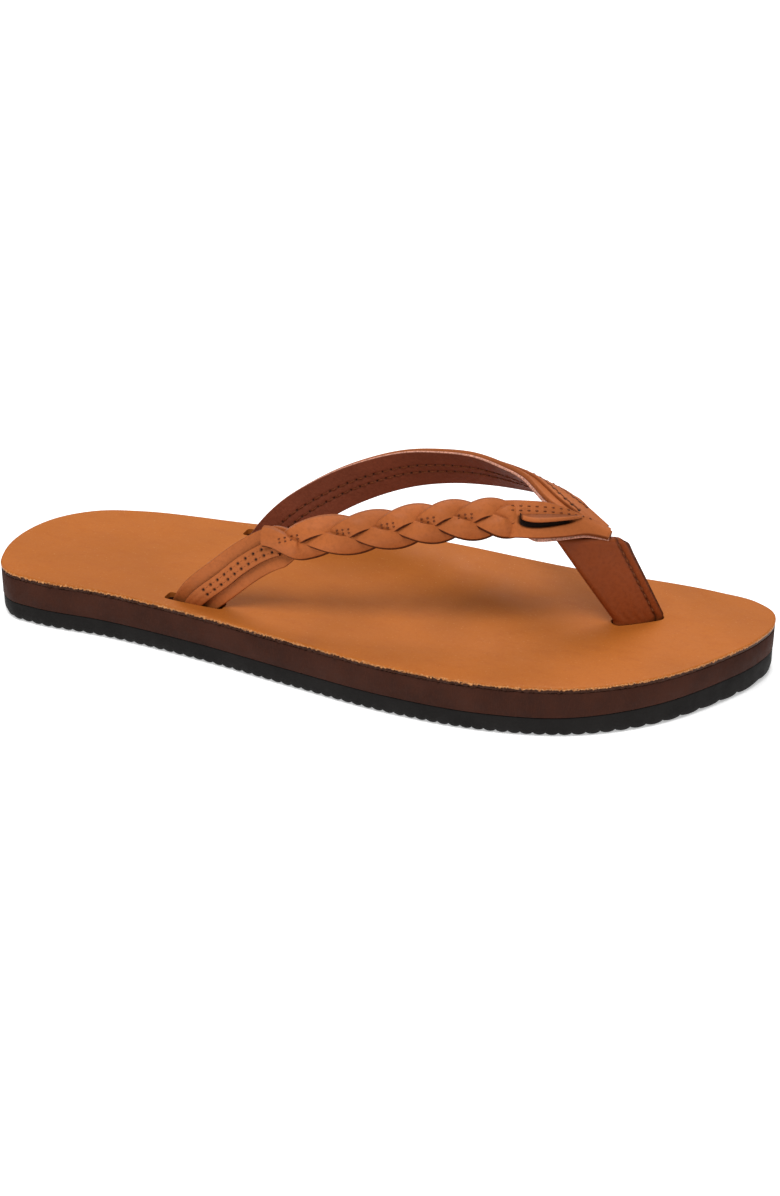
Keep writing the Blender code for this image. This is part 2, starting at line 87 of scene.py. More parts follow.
MEDIAL_PATH = [
    ((77.7, 25.4, 11.2), (-1, 0, 0.1)), ((78.7, 28.8, 13.8), (-1, 0, 0.3)),
    ((81.5, 29.8, 18.6), (-0.8, 0, 0.7)), ((89, 32, 27.5), (-0.7, -0.05, 0.8)),
    ((97.5, 35.2, 34.2), (-0.6, -0.12, 0.85)), ((106, 38.2, 39.5), (-0.5, -0.18, 0.95)),
    ((116, 41, 44.3), (-0.4, -0.24, 1)), ((128, 42, 49), (-0.25, -0.28, 1)),
    ((141, 41.9, 52.2), (-0.1, -0.4, 1)), ((154, 40.7, 54.2), (0, -0.52, 1)),
    ((166, 38.4, 54.8), (0, -0.75, 0.9)), ((177, 35, 55), (-0.02, -0.85, 0.65)),
    ((185, 30.9, 54.7), (-0.15, -0.9, 0.35)), ((192.5, 26.4, 53.9), (-0.35, -0.85, 0.15)),
    ((201.5, 22.6, 51.6), (-0.5, -0.8, 0.05)), ((209.6, 20.4, 48.3), (-0.5, -0.75, -0.1)),
]
STRAP_START = 4.0
OVER_SOLE_X = 82.0
STRAP_HALF_WIDTH = 7.2
STRAP_END_HALF_WIDTH = 2.1
STRAP_NARROWS_AT = 26.0
MEDIAL_STRIP_HALF_WIDTH = 3.8
LATERAL_STRIP_HALF_WIDTH = 2.9
LATERAL_END_HALF_WIDTH = 6.2

# ---- strap layers: underside and face, out from the centre line ----
LINING_LAYER = (-1.0, 0.0)
MEDIAL_LAYER = (0.05, 1.7)
MEDIAL_STRIP_LAYER = (1.5, 3.0)
LATERAL_LAYER = (0.05, 1.6)
LATERAL_STRIP_LAYER = (1.3, 3.0)
LATERAL_END_LAYER = (0.05, 1.9)

# ---- needle holes and stitches: (distance of a row from the middle, radius of a hole) ----
HOLE_PITCH = 3.4
HOLE_DEPTH = 0.55
MEDIAL_HOLES = (1.9, 0.5)
LATERAL_HOLES = (1.05, 0.42)
LINING_HOLES = (1.4, 0.32)
STITCH_INSET = 0.35
MEDIAL_STITCH_HEIGHT = 3.02
LATERAL_STITCH_HEIGHT = 2.97
LINING_STITCH_HEIGHT = -1.12
RAY_START = 12.0
RAY_REACH = 0.02

# ---- slots in the footbed: (centre), (half length, half width) ----
LATERAL_SLOT = ((79.4, -24.7), (10.9, 2.5))
MEDIAL_SLOT = ((80.6, 30.4), (10.4, 2.5))
SLOT_CORNER = 1.2
POST_SLOT_CORNER = 2.4
SLOT_BOTTOM = 12.0
SLOT_TOP = 27.5

# ---- braid ----
BRAID_START_X = 104.0
BRAID_END_X = 190.0
LOBE_FROM_START = (5.5, 23.5, 39.0, 53.0, 65.5, 78.0, 91.0)
RIBBON_HALF_WIDTH = 3.0
RIBBON_HALF_THICKNESS = 0.85
RIBBON_SWING = 3.7
RIBBON_LIFT = 1.8
RIBBON_CENTRE = 2.7
RIBBON_FLARE = 0.45
RIBBON_FROM_START = (6.0, 6.5, 3.0)

# ---- toe post ----
POST_BASE = (218.9, 25.8)
POST_TOP = (204.8, 17.4)
POST_TURNS = (radians(41), radians(27))
POST_HALF_WIDTHS = (8.6, 11.4)
POST_HALF_THICKNESS = 2.6
POST_LEATHER = 1.3
POST_TOP_HEIGHT = 47.5
POST_TOP_SLANT = -0.02
POST_SEAM = 2.7
POST_STITCH_PITCH = 2.75

# ---- where the footbed is pressed in round its slots: (centre), (half sizes), turn, depth ----
HOLLOWS = [
    (POST_BASE, (13.5, 8.0), POST_TURNS[0], 0.9),
    ((79, -25.5), (16, 5.5), 0, 0.55),
    ((81, 30), (16, 5.5), 0, 0.5),
]

# ---- colours, linear ----
FOOTBED_COLOUR = (0.42, 0.122, 0.019)
FOOTBED_SPOT_COLOURS = ((0.34, 0.08, 0.014), (0.32, 0.078, 0.014))
FOOTBED_FIBRE_COLOURS = ((0.36, 0.13, 0.04), (0.66, 0.30, 0.11))
FOOTBED_SEAM_COLOUR = (0.045, 0.014, 0.006)
STRAP_COLOUR = (0.39, 0.108, 0.028)
STRAP_CUT_COLOUR = (0.065, 0.016, 0.006)
LINING_COLOUR = (0.17, 0.045, 0.022)
LINING_CUT_COLOUR = (0.5, 0.24, 0.17)
POST_COLOUR = (0.23, 0.05, 0.012)
POST_CUT_COLOUR = (0.12, 0.03, 0.01)
# painted shade: the near-black colour of needle holes and other hollows
HOLE_SHADE_COLOUR = (0.012, 0.005, 0.003)
THREAD_COLOUR = (0.15, 0.04, 0.012)
WEBBING_COLOUR = (0.03, 0.02, 0.015)
MIDSOLE_COLOUR = (0.041, 0.0125, 0.0068)
ARCH_FOAM_COLOUR = (0.20, 0.18, 0.16)
OUTSOLE_COLOUR = (0.010, 0.0088, 0.0082)
FLOOR_COLOURS = ((0.9, 0.9, 0.9), (0.92, 0.92, 0.92))

# ---- studio, in metres and watts ----
FLOOR_HALF_WIDTH = 4.0
FLOOR_GLOW = 0.42
WORLD_LIGHT = 0.36
AREA_LIGHTS = {
    "key_light": ((0.08, -0.6, 1.3), (0.8, 0.6), 14),
    "back_light": ((-0.2, 0.8, 1.2), (0.8, 0.6), 9),
}
CAMERA_PLACE = (0.5164, -1.0954, 0.6065)
CAMERA_DIRECTION = (-0.3798, 0.8146, -0.4384)
FOCAL_LENGTH = 120.1
SENSOR_WIDTH = 36.0


# ---- curves and fields ----
def smooth(points, step, closed=False):
    """A smooth curve through points, sampled about every step; the first three columns hold the place."""
    points = np.array(points, float)
    if closed:
        ring = np.vstack([points[-1:], points, points[:2]])
    else:
        ring = np.vstack([2 * points[0] - points[1], points, 2 * points[-1] - points[-2]])
    curve = []
    for before, start, end, after in zip(ring, ring[1:], ring[2:], ring[3:]):
        gaps = (start - before, end - start, after - end)
        back, chord, ahead = [np.linalg.norm(gap[:3]) for gap in gaps]
        slope_in = (start - before) / back - (end - before) / (back + chord) + (end - start) / chord
        slope_out = (end - start) / chord - (after - start) / (chord + ahead) + (after - end) / ahead
        count = max(1, round(chord / step))
        for t in np.arange(count) / count:
            curve.append((2 * t**3 - 3 * t**2 + 1) * start + (t**3 - 2 * t**2 + t) * chord * slope_in
                         + (3 * t**2 - 2 * t**3) * end + (t**3 - t**2) * chord * slope_out)
    if not closed:
        curve.append(points[-1])
    return np.array(curve)


def ramp(value, low, high):
    """0 below low, 1 above high and a smooth step between them."""
    share = np.clip((np.asarray(value, float) - low) / (high - low), 0, 1)
    return share * share * (3 - 2 * share)


TOP_EDGE = smooth(OUTLINE, 0.5, closed=True)
DRAFT_CENTRE = (TOP_EDGE.min(axis=0) + TOP_EDGE.max(axis=0)) / 2
FOOTBED_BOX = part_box("footbed")
FRAME_CENTRE = [(FOOTBED_BOX[0][i] + FOOTBED_BOX[1][i]) / 2 for i in range(2)]


def placed(points):
    """Drafted points in the part's frame, in metres."""
    points = np.array(points, float)
    points[..., :2] -= DRAFT_CENTRE
    points *= MM
    points[..., :2] += FRAME_CENTRE
    return points


def arch(x, y):
    """How far the medial side is raised under the arch of the foot."""
    along = np.clip(np.abs(x - ARCH_CENTRE_X) / ARCH_HALF_LENGTH, 0, 1)
    return ARCH_RISE * np.cos(along * pi / 2) ** 2 * ramp(y, *ARCH_Y)


def parting(x, y):
    """The height at which the outsole meets the midsole; it rises towards the toe."""
    return PARTING + TOE_RISE * ramp(x, TOE_RISE_FROM, SOLE_LENGTH)


# ---- materials ----
class Paint:
    """A Principled material with short ways to add the nodes that vary it."""

    def __init__(self, name, roughness, specular):
        self.material = bpy.data.materials.new(name)
        self.material.use_nodes = True
        self.tree = self.material.node_tree
        self.shader = self.tree.nodes["Principled BSDF"]
        self.shader.inputs["Specular IOR Level"].default_value = specular
        self.shader.inputs["Roughness"].default_value = roughness
        self.place = self.tree.nodes.new("ShaderNodeTexCoord").outputs["Object"]

    def link(self, source, target):
        self.tree.links.new(source, target)

    def noise(self, size, detail=3.0, stretch=(1, 1, 1), distortion=0.0):
        """Noise whose features are about size millimetres."""
        mapping = self.tree.nodes.new("ShaderNodeMapping")
        mapping.inputs["Scale"].default_value = stretch
        self.link(self.place, mapping.inputs["Vector"])
        node = self.tree.nodes.new("ShaderNodeTexNoise")
        node.inputs["Scale"].default_value = 1 / (size * MM)
        node.inputs["Detail"].default_value = detail
        node.inputs["Distortion"].default_value = distortion
        self.link(mapping.outputs["Vector"], node.inputs["Vector"])
        return node.outputs["Fac"]

    def cells(self, size):
        """Cells about size millimetres wide."""
        node = self.tree.nodes.new("ShaderNodeTexVoronoi")
        node.inputs["Scale"].default_value = 1 / (size * MM)
        self.link(self.place, node.inputs["Vector"])
        return node.outputs["Distance"]

    def value(self, name):
        """A number painted on the mesh's points."""
        node = self.tree.nodes.new("ShaderNodeAttribute")
        node.attribute_name = name
        return node.outputs["Fac"]

    def remap(self, source, low, high, to_low=0.0, to_high=1.0):
        node = self.tree.nodes.new("ShaderNodeMapRange")
        limits = {"From Min": low, "From Max": high, "To Min": to_low, "To Max": to_high}
        for key, number in limits.items():
            node.inputs[key].default_value = number
        self.link(source, node.inputs["Value"])
        return node.outputs["Result"]

    def maths(self, operation, first, second):
        node = self.tree.nodes.new("ShaderNodeMath")
        node.operation = operation
        for index, item in enumerate((first, second)):
            if isinstance(item, (int, float)):
                node.inputs[index].default_value = item
            else:
                self.link(item, node.inputs[index])
        return node.outputs["Value"]

    def mix(self, share, first, second):
        """A colour between two colours; each is a linear triple or a node's output."""
        node = self.tree.nodes.new("ShaderNodeMix")
        node.data_type = 'RGBA'
        self.link(share, node.inputs["Factor"])
        for key, colour in (("A", first), ("B", second)):
            socket = next(s for s in node.inputs if s.name == key and s.type == 'RGBA')
            if isinstance(colour, tuple):
                socket.default_value = (*colour, 1)
            else:
                self.link(colour, socket)
        return next(s for s in node.outputs if s.type == 'RGBA')

    def finish(self, colour, height=None, strength=0.3, distance=0.1, rough=None):
        self.link(colour, self.shader.inputs["Base Color"])
        if rough is not None:
            self.link(rough, self.shader.inputs["Roughness"])
        if height is not None:
            bump = self.tree.nodes.new("ShaderNodeBump")
            bump.inputs["Strength"].default_value = strength
            bump.inputs["Distance"].default_value = distance * MM
            self.link(height, bump.inputs["Height"])
            self.link(bump.outputs["Normal"], self.shader.inputs["Normal"])
        return self.material


def shade(colour, factor):
    return tuple(channel * factor for channel in colour)


def leather(name, face, cut, roughness, pore=0.9, grain=0.35):
    """Leather whose cut edges and needle holes are painted on the mesh as the values cut and hole; hole is
    painted shade, near black, in needle holes and other hollows.
    """
    paint = Paint(name, roughness, specular=0.12)
    tone = paint.mix(paint.remap(paint.noise(26, 2), 0.35, 0.65),
                     shade(face, 0.88), shade(face, 1.12))
    fine = paint.noise(1.3, 4)
    tone = paint.mix(paint.remap(fine, 0.45, 0.75, 0, 0.5), tone, shade(face, 0.72))
    fibres = paint.mix(paint.remap(paint.noise(0.6, 3), 0.35, 0.65), shade(cut, 0.55), shade(cut, 1.5))
    tone = paint.mix(paint.value("cut"), tone, fibres)
    # painted shade: where hole is set (needle holes, the hollow under the sewn end's flap, the flap's
    # opening, the post's seam groove) the leather turns near black
    tone = paint.mix(paint.value("hole"), tone, HOLE_SHADE_COLOUR)
    height = paint.maths('ADD', paint.cells(pore), paint.noise(0.45, 3))
    rough = paint.remap(paint.noise(4, 3), 0.3, 0.7, roughness - 0.07, roughness + 0.09)
    return paint.finish(tone, height, grain, 0.12, rough)


def footbed_leather():
    """Smooth leather with a raw edge; the value depth is how far a point lies below the top.

    From the top down the edge shows pale fibres and then the dark line along the midsole."""
    paint = Paint("footbed_leather_look", 0.5, specular=0.12)
    tone = paint.mix(paint.remap(paint.noise(60, 3, distortion=0.6), 0.35, 0.65),
                     shade(FOOTBED_COLOUR, 0.9), shade(FOOTBED_COLOUR, 1.08))
    cloud, speck = FOOTBED_SPOT_COLOURS
    tone = paint.mix(paint.remap(paint.noise(7, 4, (1, 2.2, 1)), 0.5, 0.8, 0, 0.25), tone, cloud)
    tone = paint.mix(paint.remap(paint.noise(1.1, 3), 0.5, 0.75, 0, 0.22), tone, speck)
    depth = paint.maths('ADD', paint.value("depth"), paint.remap(paint.noise(0.8, 4), 0.3, 0.7, -0.4, 0.4))
    fibres = paint.mix(paint.remap(paint.noise(0.5, 2), 0.4, 0.6), *FOOTBED_FIBRE_COLOURS)
    tone = paint.mix(paint.remap(depth, 0.25, 0.7), tone, fibres)
    tone = paint.mix(paint.remap(depth, 0.85, 1.1), tone, FOOTBED_SEAM_COLOUR)
    height = paint.maths('ADD', paint.cells(0.8), paint.noise(0.4, 3))
    rough = paint.remap(paint.noise(9, 3), 0.3, 0.7, 0.44, 0.58)
    return paint.finish(tone, height, 0.16, 0.08, rough)


def foam(name, colour, roughness, cell, strength, streak=(1, 1, 1)):
    """Foam, rubber or webbing with cells about cell millimetres wide."""
    paint = Paint(name, roughness, specular=0.12)
    tone = paint.mix(paint.remap(paint.noise(12, 3), 0.35, 0.65), shade(colour, 0.82), shade(colour, 1.2))
    tone = paint.mix(paint.remap(paint.noise(0.7, 3, streak), 0.5, 0.75, 0, 0.5), tone, shade(colour, 1.55))
    height = paint.maths('ADD', paint.noise(cell, 4), paint.noise(cell * 3, 2, streak))
    rough = paint.remap(paint.noise(3, 3), 0.3, 0.7, roughness - 0.06, roughness + 0.08)
    return paint.finish(tone, height, strength, 0.15, rough)


def thread(name, colour):
    """Sewing thread, mottled finely in light and dark."""
    paint = Paint(name, 0.6, specular=0.15)
    twist = paint.noise(0.28, 1, (1, 1, 2.2))
    tone = paint.mix(paint.remap(twist, 0.38, 0.62), shade(colour, 0.55), shade(colour, 1.5))
    return paint.finish(tone, twist, 0.5, 0.1)


LOOKS = {
    "footbed_leather": footbed_leather(),
    "strap_leather": leather("strap_leather_look", STRAP_COLOUR, STRAP_CUT_COLOUR, 0.5),
    "lining_leather": leather("lining_leather_look", LINING_COLOUR, LINING_CUT_COLOUR, 0.62, 1.0, 0.8),
    "post_leather": leather("post_leather_look", POST_COLOUR, POST_CUT_COLOUR, 0.42, 1.0, 0.3),
    "thread": thread("thread_look", THREAD_COLOUR),
    "webbing": foam("webbing_look", WEBBING_COLOUR, 0.8, 0.6, 0.6, (1, 1, 4)),
    "midsole_foam": foam("midsole_foam_look", MIDSOLE_COLOUR, 0.78, 0.5, 0.35, (2.5, 2.5, 0.4)),
    "arch_foam": foam("arch_foam_look", ARCH_FOAM_COLOUR, 0.85, 0.8, 0.5),
    "outsole_rubber": foam("outsole_rubber_look", OUTSOLE_COLOUR, 0.7, 0.5, 0.25),
}


# ---- pieces ----
def linked(name, data):
    """A new object in the scene that shows a mesh, a light or a camera."""
    made = bpy.data.objects.new(name, data)
    bpy.context.collection.objects.link(made)
    return made


def closed_mesh(name, points, faces, values=None):
    """A mesh from drafted points, facing outwards, with numbers painted on its points."""
    mesh = bpy.data.meshes.new(name)
    mesh.from_pydata(placed(points).tolist(), [], faces)
    for key, numbers in (values or {}).items():
        layer = mesh.attributes.new(key, 'FLOAT', 'POINT')
        layer.data.foreach_set("value", np.asarray(numbers, np.float32).ravel())
    shape = bmesh.new()
    shape.from_mesh(mesh)
    bmesh.ops.recalc_face_normals(shape, faces=shape.faces)
    shape.to_mesh(mesh)
    shape.free()
    return mesh


def piece(name, slot, points, faces, values=None, sharp=50, replaces=()):
    """A visible piece with a look; faces that meet at more than sharp degrees keep a crisp edge."""
    mesh = closed_mesh(name, points, faces, values)
    mesh.materials.append(LOOKS[slot])
    mesh.shade_smooth()
    mesh.set_sharp_from_angle(angle=radians(sharp))
    made = linked(name, mesh)
    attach(made, BODY)
    if replaces:
        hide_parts(*replaces)
    return made


def ring_faces(count, around):
    """Faces of a tube of count rings, closed at both ends."""
    index = np.arange(count * around).reshape(count, around)
    after = np.roll(index, -1, axis=1)
    quads = np.stack([index[:-1], after[:-1], after[1:], index[1:]], axis=-1).reshape(-1, 4).tolist()
    return quads + [index[0][::-1].tolist(), index[-1].tolist()]


def tube(name, slot, rings, values=None, sharp=50, replaces=()):
    """A closed piece from equal rings of points."""
    rings = np.asarray(rings, float)
    return piece(name, slot, rings.reshape(-1, 3), ring_faces(*rings.shape[:2]), values, sharp, replaces)


# ---- sole ----
class Edge:
    """The outline moved in by a distance, read as the y of its two sides at an x."""

    def __init__(self, distance):
        ahead = np.roll(TOP_EDGE, -1, axis=0) - np.roll(TOP_EDGE, 1, axis=0)
        inward = np.stack([-ahead[:, 1], ahead[:, 0]], axis=1)
        edge = TOP_EDGE + distance * inward / np.linalg.norm(inward, axis=1, keepdims=True)
        edge = np.roll(edge, -int(edge[:, 0].argmin()), axis=0)
        far = int(edge[:, 0].argmax())
        self.sides = (edge[:far + 1], np.vstack([edge[far:], edge[:1]])[::-1])
        self.ends = (edge[0, 0], edge[far, 0])

    def x(self, station):
        """Where a station of the full outline lies on this one, which is shorter at both ends."""
        return np.interp(station, (0, END_STRETCH, SOLE_LENGTH - END_STRETCH, SOLE_LENGTH),
                         (self.ends[0], END_STRETCH, SOLE_LENGTH - END_STRETCH, self.ends[1]))

    def y(self, x, side):
        """The y of the outline's side 0 or 1 at x."""
        return np.interp(x, self.sides[side][:, 0], self.sides[side][:, 1])


def sole_stations():
    """Places along the sole: closer together at the ends, then RIB_SAMPLES to each rib."""
    end = 0.04 * np.arange(1, 10) ** 2
    middle = np.arange(RIB_PITCH, SOLE_LENGTH - 3.6, RIB_PITCH / RIB_SAMPLES)
    return np.concatenate([end, middle, SOLE_LENGTH - end[::-1]])


STATIONS = sole_stations()


def tread(station):
    """0 on the belly of a rib, which is an arc, and 1 in the notch between two."""
    across = np.abs(2 * np.mod(np.asarray(station) / RIB_PITCH, 1) - 1)
    return 1 - np.sqrt(np.clip(1 - across**2, 0, 1))


def sole_layer(name, slot, levels, top_shares, bottom_shares, node, ragged=None, depth_from=None):
    """A layer of the sole.  levels are (inset, height function of station, x and y) from its underside up.

    Each end is closed by a ladder of quads from wall to wall, because its points lie in no plane."""
    walls = []
    for number, (distance, height) in enumerate(levels):
        edge = Edge(distance)
        x = edge.x(STATIONS)
        pair = []
        for side in (0, 1):
            y = edge.y(x, side)
            z = height(STATIONS, x, y)
            if ragged is not None:
                y = y + (1 - 2 * side) * ragged[side, :, number]
                z = z + 0.6 * ragged[side, :, number]
            pair.append(np.stack([x, y, z], axis=1))
        walls.append(pair)

    def crossing(level, shares):
        near, far = walls[level]
        height = levels[level][1]
        rows = []
        for share in shares:
            row = near + share * (far - near)
            row[:, 2] = height(STATIONS, row[:, 0], row[:, 1])
            rows.append(row)
        return rows

    top = crossing(-1, top_shares)
    bottom = crossing(0, bottom_shares[::-1])
    near_wall = [near for near, far in walls]
    far_wall = [far for near, far in reversed(walls)]
    rings = np.stack(near_wall + top + far_wall + bottom, axis=1)
    count = len(levels)
    around = rings.shape[1]
    last = (len(rings) - 1) * around
    far_of = [2 * count + len(top) - 1 - level for level in range(count)]
    steps = [[level, level + 1, far_of[level + 1], far_of[level]] for level in range(count - 1)]
    steps[-1][2:2] = range(count, count + len(top))
    steps[0] += range(around - len(bottom), around)
    far_steps = [[last + i for i in step][::-1] for step in steps]
    faces = ring_faces(*rings.shape[:2])[:-2] + steps + far_steps
    values = None
    if depth_from is not None:
        below = depth_from(rings[..., 0], rings[..., 1]) - rings[..., 2]
        below[:, count:count + len(top)] = 0
        values = {"depth": np.clip(below, 0, 4)}
    return piece(name, slot, rings.reshape(-1, 3), faces, values, 60, (node,))


def even(count):
    """The shares that divide a width into count equal parts."""
    return np.arange(1, count) / count


def groove(height, share):
    """A level of the outsole that the tread still reaches, by a share of its depth."""
    return lambda station, x, y: height + RIB_DEPTH * share * tread(station)


def over(height, follows):
    """A level that stays height above a field of x and y."""
    return lambda station, x, y: height + follows(x, y)


def outsole():
    levels = [(3.3, groove(0, 1)), (2.1, groove(0.25, 1)), (1.45, groove(0.8, 0.8)),
              (1.05, groove(1.7, 0.35)), (0.8, groove(3.0, 0.08)),
              (0.66, over(-0.4, parting)), (0.8, over(-0.1, parting))]
    return sole_layer("outsole_rubber_layer", "outsole_rubber", levels, even(4), even(14), "outsole")


def midsole():
    levels = [(0.75, over(0.1, parting)), (0.5, over(0.35, parting)),
              (0.32, lambda station, x, y: (parting(x, y) + SHELF + arch(x, y)) / 2),
              (0.18, over(SHELF - 0.3, arch)), (0.35, over(SHELF - 0.05, arch))]
    return sole_layer("midsole_foam_layer", "midsole_foam", levels, even(24), even(4), "midsole")


def dip(x, y, centre, half, turn, depth):
    """A soft hollow that is pressed into the leather round something that goes through it."""
    u = (x - centre[0]) * cos(turn) + (y - centre[1]) * sin(turn)
    v = -(x - centre[0]) * sin(turn) + (y - centre[1]) * cos(turn)
    return depth * np.exp(-((u / half[0]) ** 2 + (v / half[1]) ** 2) ** 1.4)


def over_top(x, y):
    """The footbed's top before anything has pressed into it."""
    return FLOOR_OF_FOOT + arch(x, y)


def footbed_top(x, y):
    """The top of the footbed, pressed in round the slots and by the ball and the heel of the foot."""
    hollows = sum(dip(x, y, *hollow) for hollow in HOLLOWS)
    ball = 0.5 * np.exp(-(((x - 188) / 34) ** 2 + ((y - 8) / 30) ** 2))
    heel = 0.5 * np.exp(-(((x - 36) / 30) ** 2 + ((y - 1) / 22) ** 2))
    return over_top(x, y) - hollows - ball - heel


def footbed():
    """The leather footbed; its raw edge is ragged and evens out at the ends of heel and toe."""
    rng = np.random.default_rng(11)
    top = over(0, footbed_top)
    steps = [(0.35, 0.05), (0.22, 0.3), (0.12, 0.7), (0.06, 1.1),
             (0.0, 1.45), (0.04, 1.75), (0.16, 1.98), (0.42, 2.14)]
    levels = [(inset, over(SHELF + rise, arch)) for inset, rise in steps] + [(1.0, top), (2.2, top)]
    rough = np.array([0.1, 0.18, 0.24, 0.22, 0.16, 0.1, 0.06, 0.02, 0.0, 0.0])
    inside = ramp(np.minimum(STATIONS, SOLE_LENGTH - STATIONS), 2, 9)
    ragged = rng.normal(0, 1, (2, len(STATIONS), len(levels))) * rough * inside[:, None]
    return sole_layer("footbed_leather_layer", "footbed_leather", levels, even(54), even(6), "footbed",
                      ragged, over_top)


def slot_cutter(name, centre, half, turn=0.0, corner=SLOT_CORNER):
    """A rounded slot, cut down from above the footbed."""
    ring = []
    for quarter, (sx, sy) in enumerate(((1, 1), (-1, 1), (-1, -1), (1, -1))):
        for step in range(5):
            angle = pi / 2 * (quarter + step / 4)
            u = sx * (half[0] - corner) + corner * cos(angle)
            v = sy * (half[1] - corner) + corner * sin(angle)
            x = centre[0] + u * cos(turn) - v * sin(turn)
            y = centre[1] + u * sin(turn) + v * cos(turn)
            ring.append((x, y))
    rings = np.array([[(x, y, z) for x, y in ring] for z in (SLOT_BOTTOM, SLOT_TOP)])
    return linked(name, closed_mesh(name, rings.reshape(-1, 3), ring_faces(2, len(ring))))


def cut(made, cutter):
    modifier = made.modifiers.new(cutter.name, 'BOOLEAN')
    modifier.solver = 'EXACT'
    modifier.object = cutter


def apply_modifiers(made):
    evaluated = made.evaluated_get(bpy.context.evaluated_depsgraph_get())
    mesh = bpy.data.meshes.new_from_object(evaluated)
    made.modifiers.clear()
    made.data = mesh


def sole():
    """The three layers; the slots go through the footbed and down into the midsole."""
    layers = [midsole(), footbed()]
    outsole()
    post_slot = (POST_HALF_WIDTHS[0] + 0.5, POST_HALF_THICKNESS + 0.35)
    cutters = [slot_cutter("lateral_slot", *LATERAL_SLOT),
               slot_cutter("medial_slot", *MEDIAL_SLOT),
               slot_cutter("post_slot", POST_BASE, post_slot, POST_TURNS[0], POST_SLOT_CORNER)]
    for layer in layers:
        for cutter in cutters:
            cut(layer, cutter)
        apply_modifiers(layer)
    for cutter in cutters:
        bpy.data.objects.remove(cutter, do_unlink=True)


# ---- straps ----
class Strap:
    """A strap's centre line, the direction across it and the direction out of its face."""

    def __init__(self, path, outward_side):
        rows = smooth([(*place, *across) for place, across in path], 1.0)
        self.place = rows[:, :3]
        along = np.gradient(self.place, axis=0)
        along /= np.linalg.norm(along, axis=1, keepdims=True)
        across = rows[:, 3:]
        across = across - along * np.sum(across * along, axis=1, keepdims=True)
        self.across = across / np.linalg.norm(across, axis=1, keepdims=True)
        self.outward = outward_side * np.cross(along, self.across)
        steps = np.linalg.norm(np.diff(self.place, axis=0), axis=1)
        self.length = np.concatenate([[0], np.cumsum(steps)])
        self.end = self.length[-1]

    def read(self, table, distance):
        return np.stack([np.interp(distance, self.length, table[:, i]) for i in range(3)], axis=-1)

    def at(self, distance, side, height):
        """Points at distances along the strap, to its upper side and out of its face."""
        distance, side, height = np.broadcast_arrays(distance, side, height)
        return (self.read(self.place, distance) + side[..., None] * self.read(self.across, distance)
                + height[..., None] * self.read(self.outward, distance))

    def distance_of(self, x):
        """How far along the strap it reaches x, counted above the footbed only."""
        above = self.place[:, 2] > FLOOR_OF_FOOT
        return float(np.interp(x, self.place[above, 0], self.length[above]))

    def half_width(self, distance, full=STRAP_HALF_WIDTH):
        """Half the strap's width, which narrows towards the sewn end over the toe post."""
        share = ramp(self.end - distance, 0, STRAP_NARROWS_AT)
        return np.minimum(full, STRAP_END_HALF_WIDTH + (full - STRAP_END_HALF_WIDTH) * share)


LATERAL = Strap(LATERAL_PATH, 1)
MEDIAL = Strap(MEDIAL_PATH, -1)
LATERAL_OVER_SOLE = LATERAL.distance_of(OVER_SOLE_X)
MEDIAL_OVER_SOLE = MEDIAL.distance_of(OVER_SOLE_X)
CORNER = ((1.0, 0.0), (0.92, 0.38), (0.71, 0.71), (0.38, 0.92))  # a quarter circle, side to face


def profile(half, low, high, radius, crown, columns, face=1, flare=0.0):
    """A strap's cross-section at each station: sides, heights and how much of each point is cut edge.

    The crowned side is the upper one for face 1 and the lower one for face -1."""
    half = np.asarray(half, float)[:, None]
    across = np.linspace(-1, 1, columns)
    sides = [across * (half - radius)]
    heights = [high + crown * (1 - across**2) + 0 * half]
    cuts = [0.0] * columns
    for sign in (1, -1):
        corner = CORNER[::-1] if sign > 0 else CORNER
        u, v = np.array(corner).T
        upper_side = sign * (half - radius + radius * u)
        upper_height = high - radius * (1 - v) + 0 * half
        if sign > 0:
            sides += [upper_side, half + flare, half + flare - 0.25]
            heights += [upper_height, low + 0.25 + 0 * half, low + 0 * half]
            cuts += [0.0, 0.35, 0.9, 1.0, 1.0, 1.0]
        else:
            sides += [0.25 - half - flare, -half - flare, upper_side]
            heights += [low + 0 * half, low + 0.25 + 0 * half, upper_height]
            cuts += [1.0, 1.0, 1.0, 0.9, 0.35, 0.0]
    sides, heights = np.hstack(sides), np.hstack(heights)
    if face < 0:
        heights = low + high - heights
    return sides, heights, np.array(cuts)


def holes(distance, side, start, end, row, radius):
    """How deep the two rows of needle holes are at a place on a strip."""
    nearest = np.mod(distance - start + HOLE_PITCH / 2, HOLE_PITCH) - HOLE_PITCH / 2
    inside = (distance > start - HOLE_PITCH / 2) & (distance < end)
    away = np.minimum(np.hypot(nearest, side - row), np.hypot(nearest, side + row))
    return inside * np.exp(-(away / radius) ** 2)


